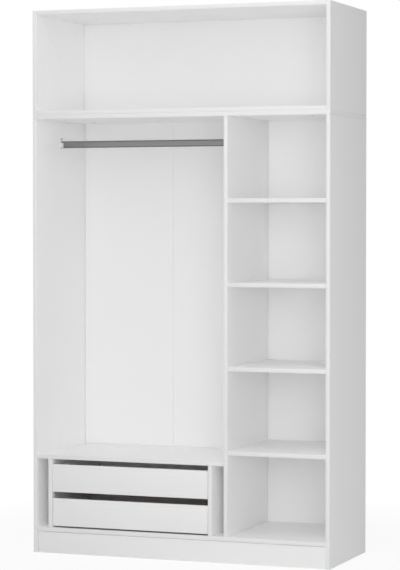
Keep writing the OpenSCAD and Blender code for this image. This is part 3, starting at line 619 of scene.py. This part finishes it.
hardboard, tree, shader = new_material("hardboard", "hardboard")
fine = add(tree, "ShaderNodeGroup", {"Grain per metre": 600.0, "Depth": 0.00003,
           "Drift": 0.02}, node_tree=fine_surface)
place = add(tree, "ShaderNodeTexCoord")
facing = add(tree, "ShaderNodeVectorMath", {0: place.outputs["Normal"], 1: TO_THE_ROOM},
             operation="DOT_PRODUCT")
is_foil = add(tree, "ShaderNodeMath", {0: facing.outputs["Value"], 1: AWAY_FROM_ROOM},
              operation="GREATER_THAN")
foil = toned(tree, grey(BOARD_WHITE), fine.outputs["Tone"])
fibres = add(tree, "ShaderNodeTexNoise", {"Vector": place.outputs["Object"],
             "Scale": 700.0, "Detail": 4.0, "Roughness": 0.7})
clouds = add(tree, "ShaderNodeTexNoise", {"Vector": place.outputs["Object"],
             "Scale": 14.0, "Detail": 5.0})
felted = add(tree, "ShaderNodeMath", {0: clouds.outputs["Fac"], 1: CLOUD_SHARE,
             2: fibres.outputs["Fac"]}, operation="MULTIPLY_ADD")
felted = add(tree, "ShaderNodeMapRange", {"Value": felted.outputs[0], "From Min": 0.35,
             "From Max": 0.95})
bare = mixed(tree, felted.outputs[0], DARK_FIBRE, LIGHT_FIBRE)
link(tree, mixed(tree, is_foil.outputs[0], bare, foil), shader.inputs["Base Color"])
rough = add(tree, "ShaderNodeMapRange", {"Value": is_foil.outputs[0], "To Min": 0.85,
            "To Max": 0.5})
link(tree, rough.outputs[0], shader.inputs["Roughness"])
shader.inputs["Specular IOR Level"].default_value = 0.3
print("material", hardboard.name, "with", len(tree.nodes), "nodes")

# %% [markdown]
# ## The print of the wire mesh
# Wet fibre is pressed on a wire screen, which leaves a weave of tiny dents on the bare side.
# Modelling them would take millions of faces. Two sine waves at right angles, multiplied,
# give the same weave as a height for a Bump node. One runs along X, the other along the sum
# of Y and Z, which grows both up a leaf that stands and along a bottom that lies. The depth
# falls to nothing on the side with the foil.

# %% Material: hardboard, relief
WEAVE = 0.0016
WEAVE_DEPTH = 0.0001

axes = add(tree, "ShaderNodeSeparateXYZ", {0: place.outputs["Object"]})
along = add(tree, "ShaderNodeMath", {0: axes.outputs["Y"], 1: axes.outputs["Z"]},
            operation="ADD")
waves = []
for output in (axes.outputs["X"], along.outputs[0]):
    turn = add(tree, "ShaderNodeMath", {0: output, 1: 2 * math.pi / WEAVE},
               operation="MULTIPLY")
    waves.append(add(tree, "ShaderNodeMath", {0: turn.outputs[0]}, operation="SINE"))
mesh_print = add(tree, "ShaderNodeMath", {0: waves[0].outputs[0],
                 1: waves[1].outputs[0]}, operation="MULTIPLY")
depth = add(tree, "ShaderNodeMapRange", {"Value": is_foil.outputs[0],
            "To Min": WEAVE_DEPTH, "To Max": 0.0})
print_bump = add(tree, "ShaderNodeBump", {"Height": mesh_print.outputs[0],
                 "Distance": depth.outputs[0], "Normal": fine.outputs["Normal"]})
link(tree, print_bump.outputs[0], shader.inputs["Normal"])
print("material", hardboard.name, "with", len(tree.nodes), "nodes and a weave of",
      WEAVE * 1000, "mm")

# %% [markdown]
# ## Joining tape
# Two leaves of the back meet behind the hanging space with nothing behind them, so a paper
# tape joins them. It is matt, a little yellow against the boards, and never lies quite
# flat. Long soft creases across it come from noise that is stretched along its width.

# %% Material: tape
CREASES_PER_METRE = (14.0, 1.0, 60.0)
CREASE_DEPTH = 0.0004
DARK_PAPER = (0.62, 0.58, 0.50, 1)
LIGHT_PAPER = (0.78, 0.75, 0.68, 1)

tape, tree, shader = new_material("joining_tape", "tape")
place = add(tree, "ShaderNodeTexCoord")
stretched = add(tree, "ShaderNodeMapping", {"Vector": place.outputs["Object"],
                "Scale": CREASES_PER_METRE})
creases = add(tree, "ShaderNodeTexNoise", {"Vector": stretched.outputs[0], "Scale": 1.0,
              "Detail": 4.0})
link(tree, mixed(tree, creases.outputs["Fac"], DARK_PAPER, LIGHT_PAPER),
     shader.inputs["Base Color"])
shader.inputs["Roughness"].default_value = 0.75
crease_bump = add(tree, "ShaderNodeBump", {"Height": creases.outputs["Fac"],
                  "Distance": CREASE_DEPTH})
link(tree, crease_bump.outputs[0], shader.inputs["Normal"])
print("material", tape.name, "with", len(tree.nodes), "nodes")

# %% [markdown]
# ## Shared effect: drawn metal
# Tube that is drawn through a die, and strip that is rolled, keep fine lines along their
# length. Lines could be scratched in with a picture. Noise that is stretched a hundred times
# along one axis gives them at real width, and the same group serves the rail, the brackets
# and the screws with another stretch.

# %% Group: drawn lines
drawn_lines, taken, given = new_group(
    "drawn_lines", {"Lines per metre": 2500.0, "Along X": 1.0, "Along Y": 1.0,
                    "Along Z": 1.0, "Depth": 0.00001},
    {"Line": "NodeSocketFloat", "Normal": "NodeSocketVector"})
place = add(drawn_lines, "ShaderNodeTexCoord")
stretch = add(drawn_lines, "ShaderNodeCombineXYZ", {0: taken.outputs["Along X"],
              1: taken.outputs["Along Y"], 2: taken.outputs["Along Z"]})
pulled = add(drawn_lines, "ShaderNodeVectorMath", {0: place.outputs["Object"],
             1: stretch.outputs[0]}, operation="MULTIPLY")
streaks = add(drawn_lines, "ShaderNodeTexNoise", {"Vector": pulled.outputs[0],
              "Scale": taken.outputs["Lines per metre"], "Detail": 2.0})
bump = add(drawn_lines, "ShaderNodeBump", {"Height": streaks.outputs["Fac"],
           "Distance": taken.outputs["Depth"]})
link(drawn_lines, streaks.outputs["Fac"], given.inputs["Line"])
link(drawn_lines, bump.outputs[0], given.inputs["Normal"])
print("group", drawn_lines.name, "with", len(drawn_lines.nodes), "nodes")

# %% [markdown]
# ## Metals
# The rail is a plated steel tube, its brackets are zinc castings with a bright plating, the
# cams and the nails have dull zinc, and the screws and bolts are bright steel. All are fully
# metallic, so their base colour is the colour of their reflection: the rail mirrors the
# white room and still looks mid grey in the photo, so its metal is dark. One function makes
# all of them, since they differ only in tone, roughness and the way their lines run.

# %% Material: metals
SWING = 0.06


def new_metal(name, dark, light, roughness, lines):
    """A metal whose tone and roughness follow drawn lines."""
    material, tree, shader = new_material(name, name)
    drawn = add(tree, "ShaderNodeGroup", lines, node_tree=drawn_lines)
    link(tree, mixed(tree, drawn.outputs["Line"], grey(dark), grey(light)),
         shader.inputs["Base Color"])
    rough = add(tree, "ShaderNodeMapRange", {"Value": drawn.outputs["Line"],
                "To Min": roughness - SWING, "To Max": roughness + SWING})
    link(tree, rough.outputs[0], shader.inputs["Roughness"])
    link(tree, drawn.outputs["Normal"], shader.inputs["Normal"])
    shader.inputs["Metallic"].default_value = 1.0
    print("material", name, "with", len(tree.nodes), "nodes")
    return material


rail_steel = new_metal("rail_steel", 0.22, 0.29, 0.30, {"Along X": 0.01})
plated_zinc = new_metal("plated_zinc", 0.72, 0.80, 0.28, {"Lines per metre": 500.0})
zinc = new_metal("zinc", 0.38, 0.55, 0.42, {"Lines per metre": 700.0, "Depth": 0.00003})
screw_steel = new_metal("screw_steel", 0.45, 0.62, 0.30, {"Lines per metre": 1500.0})

# %% [markdown]
# ## The rail's painted edge shade
# An oval tube has rounded edges above and below, and these show as two dark lines along
# the rail. Here the lines are painted shade: a colour ramp reads how far the surface faces
# up or down and darkens the rail's base colour there, most where it faces down and less
# where it faces up.

# %% Material: rail, painted edge shade
# how far the surface faces up, 0 to 1: the painted shade that darkens the rail's tone there
EDGE_SHADE_BY_FACING = {0.12: 0.42, 0.30: 1.0, 0.75: 1.0, 0.95: 0.75}

tree = rail_steel.node_tree
shader = tree.nodes["Principled BSDF"]
drawn_tone = shader.inputs["Base Color"].links[0].from_socket
place = add(tree, "ShaderNodeTexCoord")
upward = add(tree, "ShaderNodeSeparateXYZ", {0: place.outputs["Normal"]}).outputs[2]
height = add(tree, "ShaderNodeMapRange", {"Value": upward, "From Min": -1.0})
painted_edge_shade = add(tree, "ShaderNodeValToRGB", {0: height.outputs[0]})
stops = painted_edge_shade.color_ramp.elements
for upturn, level in EDGE_SHADE_BY_FACING.items():
    stops.new(upturn).color = grey(level)
stops.remove(stops[0])
stops.remove(stops[len(stops) - 1])
# the rail's tone, darkened by the painted shade on its upper and lower edges
shaded_rail_tone = add(tree, "ShaderNodeVectorMath", {0: drawn_tone, 1: painted_edge_shade.outputs[0]},
             operation="MULTIPLY")
link(tree, shaded_rail_tone.outputs[0], shader.inputs["Base Color"])
print("material", rail_steel.name, "with", len(tree.nodes), "nodes")

# %% [markdown]
# ## Beech dowels
# Dowels are turned from beech, which shows short dark flecks along its length. A wave texture
# would give rings as in pine. Beech has none to speak of, so the drawn lines from above are
# used again, stretched along the dowel and spread to a higher contrast.

# %% Material: beech
DARK_BEECH = (0.38, 0.22, 0.11, 1)
LIGHT_BEECH = (0.62, 0.42, 0.25, 1)

beech, tree, shader = new_material("beech", "beech")
drawn = add(tree, "ShaderNodeGroup", {"Lines per metre": 900.0, "Along X": 0.08,
            "Depth": 0.00005}, node_tree=drawn_lines)
flecks = add(tree, "ShaderNodeMapRange", {"Value": drawn.outputs["Line"],
             "From Min": 0.35, "From Max": 0.65})
link(tree, mixed(tree, flecks.outputs[0], DARK_BEECH, LIGHT_BEECH),
     shader.inputs["Base Color"])
link(tree, drawn.outputs["Normal"], shader.inputs["Normal"])
shader.inputs["Roughness"].default_value = 0.7
print("material", beech.name, "with", len(tree.nodes), "nodes")

# %% [markdown]
# ## Nylon rollers
# The rollers are moulded nylon, which is milky: light goes in a little way and comes out
# beside where it went in. A plain white would look like painted metal. A small share of
# subsurface scattering over two millimetres softens the shadows on the roller.

# %% Material: nylon
MILKY = (0.70, 0.70, 0.67, 1)
MILKY_DEPTH = (0.002, 0.002, 0.002)

nylon, tree, shader = new_material("nylon", "nylon")
fine = add(tree, "ShaderNodeGroup", {"Grain per metre": 1200.0, "Depth": 0.00002,
           "Drift": 0.03}, node_tree=fine_surface)
link(tree, toned(tree, MILKY, fine.outputs["Tone"]), shader.inputs["Base Color"])
link(tree, fine.outputs["Normal"], shader.inputs["Normal"])
shader.inputs["Roughness"].default_value = 0.4
shader.inputs["Subsurface Weight"].default_value = 0.15
shader.inputs["Subsurface Radius"].default_value = MILKY_DEPTH
print("material", nylon.name, "with", len(tree.nodes), "nodes")

# %% [markdown]
# ## Coated runner steel
# The runners are bent from steel strip and powder coated in white, which leaves the skin of
# an orange. Where rollers and hands rub, long grey scuffs run along the profile. They could
# be painted by hand on each runner. The drawn lines, cut off high up, leave a few long
# streaks, and these mix the coating with bare grey.

# %% Material: coated runner steel
POWDER_WHITE = 0.74
BARE_STEEL = 0.42

runner_steel, tree, shader = new_material("runner_steel", "runner_steel")
fine = add(tree, "ShaderNodeGroup", {"Grain per metre": 1400.0, "Depth": 0.00006,
           "Drift": 0.02}, node_tree=fine_surface)
drawn = add(tree, "ShaderNodeGroup", {"Lines per metre": 500.0, "Along Y": 0.02},
            node_tree=drawn_lines)
powder = toned(tree, grey(POWDER_WHITE), fine.outputs["Tone"])
scuffs = add(tree, "ShaderNodeMapRange", {"Value": drawn.outputs["Line"],
             "From Min": 0.60, "From Max": 0.72, "To Max": 0.5})
link(tree, mixed(tree, scuffs.outputs[0], powder, grey(BARE_STEEL)),
     shader.inputs["Base Color"])
link(tree, fine.outputs["Normal"], shader.inputs["Normal"])
shader.inputs["Roughness"].default_value = 0.36
print("material", runner_steel.name, "with", len(tree.nodes), "nodes")

# %% [markdown]
# ## Finishes on the CAD pieces
# Backs, rail, brackets, runners, rollers and fasteners already have their true shape in the
# CAD model, so their own meshes are shown and only take a finish. The record names one
# finish for every node, and each material here carries that name, so the pieces find their
# material through the record and none can be forgotten.

# %% Finishes
finishes = {material["slot"]: material for material in (
    white_board, hardboard, tape, rail_steel, plated_zinc, zinc, screw_steel, beech,
    nylon, runner_steel)}
painted = 0
for part in frame["record"]["subparts"]:
    node = part["node"]
    if node not in BANDS:
        nodes[node].data.materials.clear()
        nodes[node].data.materials.append(finishes[part["material_slot"]])
        painted += 1
print("CAD pieces with a finish:", painted)

# %% [markdown]
# ## Nails of the backs, by geometry nodes
# The backs are nailed to the rear edges of the boards, a hand's width apart and never quite
# in line. More than a hundred nails could be placed by a loop, but a geometry nodes tree
# does it from a few lines: it turns each line into a curve, takes a point every so many
# millimetres, shifts each point a little, sets a nail's head on it, and realizes the result.
# The shift is random, but its seed is fixed, so every run puts each nail in the same place.
# The lines come from where each leaf of the back lies over a board.

# %% Geometry nodes: nail rows
HEAD_CORNERS = 16
RIM_SHARE = 0.75
SHIFT_SEED = 0

nail_rows = bpy.data.node_groups.new("nail_rows", "GeometryNodeTree")
for label, kind in (("Rows", "NodeSocketGeometry"), ("Spacing", "NodeSocketFloat"),
                    ("Head radius", "NodeSocketFloat"), ("Head height", "NodeSocketFloat"),
                    ("Shift", "NodeSocketFloat"), ("Finish", "NodeSocketMaterial")):
    nail_rows.interface.new_socket(label, in_out="INPUT", socket_type=kind)
nail_rows.interface.new_socket("Nails", in_out="OUTPUT", socket_type="NodeSocketGeometry")
taken = add(nail_rows, "NodeGroupInput").outputs
curves = add(nail_rows, "GeometryNodeMeshToCurve", {"Mesh": taken["Rows"]})
points = add(nail_rows, "GeometryNodeResampleCurve", {"Curve": curves.outputs[0],
             "Length": taken["Spacing"]}, mode="LENGTH")
back = add(nail_rows, "ShaderNodeMath", {0: taken["Shift"], 1: -1.0},
           operation="MULTIPLY")
least = add(nail_rows, "ShaderNodeCombineXYZ", {0: back.outputs[0], 2: back.outputs[0]})
most = add(nail_rows, "ShaderNodeCombineXYZ", {0: taken["Shift"], 2: taken["Shift"]})
chance = add(nail_rows, "FunctionNodeRandomValue", {0: least.outputs[0],
             1: most.outputs[0], "Seed": SHIFT_SEED}, data_type="FLOAT_VECTOR")
shifted = add(nail_rows, "GeometryNodeSetPosition", {"Geometry": points.outputs[0],
              "Offset": chance.outputs[0]})
rim = add(nail_rows, "ShaderNodeMath", {0: taken["Head radius"], 1: RIM_SHARE},
          operation="MULTIPLY")
head = add(nail_rows, "GeometryNodeMeshCone", {"Vertices": HEAD_CORNERS,
           "Side Segments": 1, "Fill Segments": 1, "Radius Top": rim.outputs[0],
           "Radius Bottom": taken["Head radius"], "Depth": taken["Head height"]})
placed = add(nail_rows, "GeometryNodeInstanceOnPoints", {"Points": shifted.outputs[0],
             "Instance": head.outputs["Mesh"], "Rotation": (-math.pi / 2, 0, 0)})
real = add(nail_rows, "GeometryNodeRealizeInstances", {0: placed.outputs[0]})
finished = add(nail_rows, "GeometryNodeSetMaterial", {"Geometry": real.outputs[0],
               "Material": taken["Finish"]})
add(nail_rows, "NodeGroupOutput", {0: finished.outputs[0]})
print("tree", nail_rows.name, "with", len(nail_rows.nodes), "nodes")

# %% [markdown]
# ## Where the nails go
# A nail only holds where the back lies over a board. The rows could be typed in as numbers,
# but then a change of the model would leave them behind. Each leaf of the back is compared
# with each board: where the two overlap, the middle of the overlap is a line for a row of
# nails, a little short at both ends.

# %% Lines under the nails
LEAVES = ("back_panel_left", "back_panel_middle", "back_panel_right", "top_box_back")
END_ROOM = 0.014
TOUCHING = 0.0005
LEAST_LAP = 0.005


def nail_line(leaf, board):
    """The middle line of the patch where a leaf lies over a board's rear edge, or None."""
    (leaf_low, leaf_high), (low, high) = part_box(leaf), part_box(board)
    if abs(high.y - leaf_low.y) > TOUCHING:
        return None
    x = (max(low.x, leaf_low.x), min(high.x, leaf_high.x))
    z = (max(low.z, leaf_low.z), min(high.z, leaf_high.z))
    wide, tall = x[1] - x[0], z[1] - z[0]
    if min(wide, tall) < LEAST_LAP:
        return None
    if wide < tall:
        middle = sum(x) / 2
        return [(middle, z[0] + END_ROOM), (middle, z[1] - END_ROOM)]
    middle = sum(z) / 2
    return [(x[0] + END_ROOM, middle), (x[1] - END_ROOM, middle)]


lines = [line for leaf in LEAVES for board in BANDS if (line := nail_line(leaf, board))]
leaf_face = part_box("back_panel_left")[1].y
ends = [(x, leaf_face, z) for line in lines for x, z in line]
rows_mesh = bpy.data.meshes.new("nail_lines")
rows_mesh.from_pydata(ends, [(i, i + 1) for i in range(0, len(ends), 2)], [])
print("nail lines:", len(lines))

# %% [markdown]
# ## The nails as a mesh
# The tree works as a modifier on the mesh of lines. Each input is found by its name, but set
# by its socket's identifier, which is what a modifier goes by. It could stay live, but a
# piece that is exported has to be a plain mesh. So the evaluated result is kept as one, and
# the lines and the modifier are taken away.

# %% Nails
rows = bpy.data.objects.new("nail_lines", rows_mesh)
scene.collection.objects.link(rows)
modifier = rows.modifiers.new("nails", "NODES")
modifier.node_group = nail_rows
values = {"Spacing": 0.13, "Head radius": 0.0019, "Head height": 0.0007, "Shift": 0.0025,
          "Finish": zinc}
for socket in nail_rows.interface.items_tree:
    if socket.in_out == "INPUT" and socket.name in values:
        modifier[socket.identifier] = values[socket.name]
evaluated = rows.evaluated_get(bpy.context.evaluated_depsgraph_get())
nail_mesh = bpy.data.meshes.new_from_object(evaluated)
nail_mesh.name = "back_nails"
rows.modifiers.remove(modifier)
bpy.data.objects.remove(rows)
new_piece("back_nails", nail_mesh, "carcass", zinc)
print("nails:", len(nail_mesh.vertices) // (2 * HEAD_CORNERS), "faces:",
      len(nail_mesh.polygons))
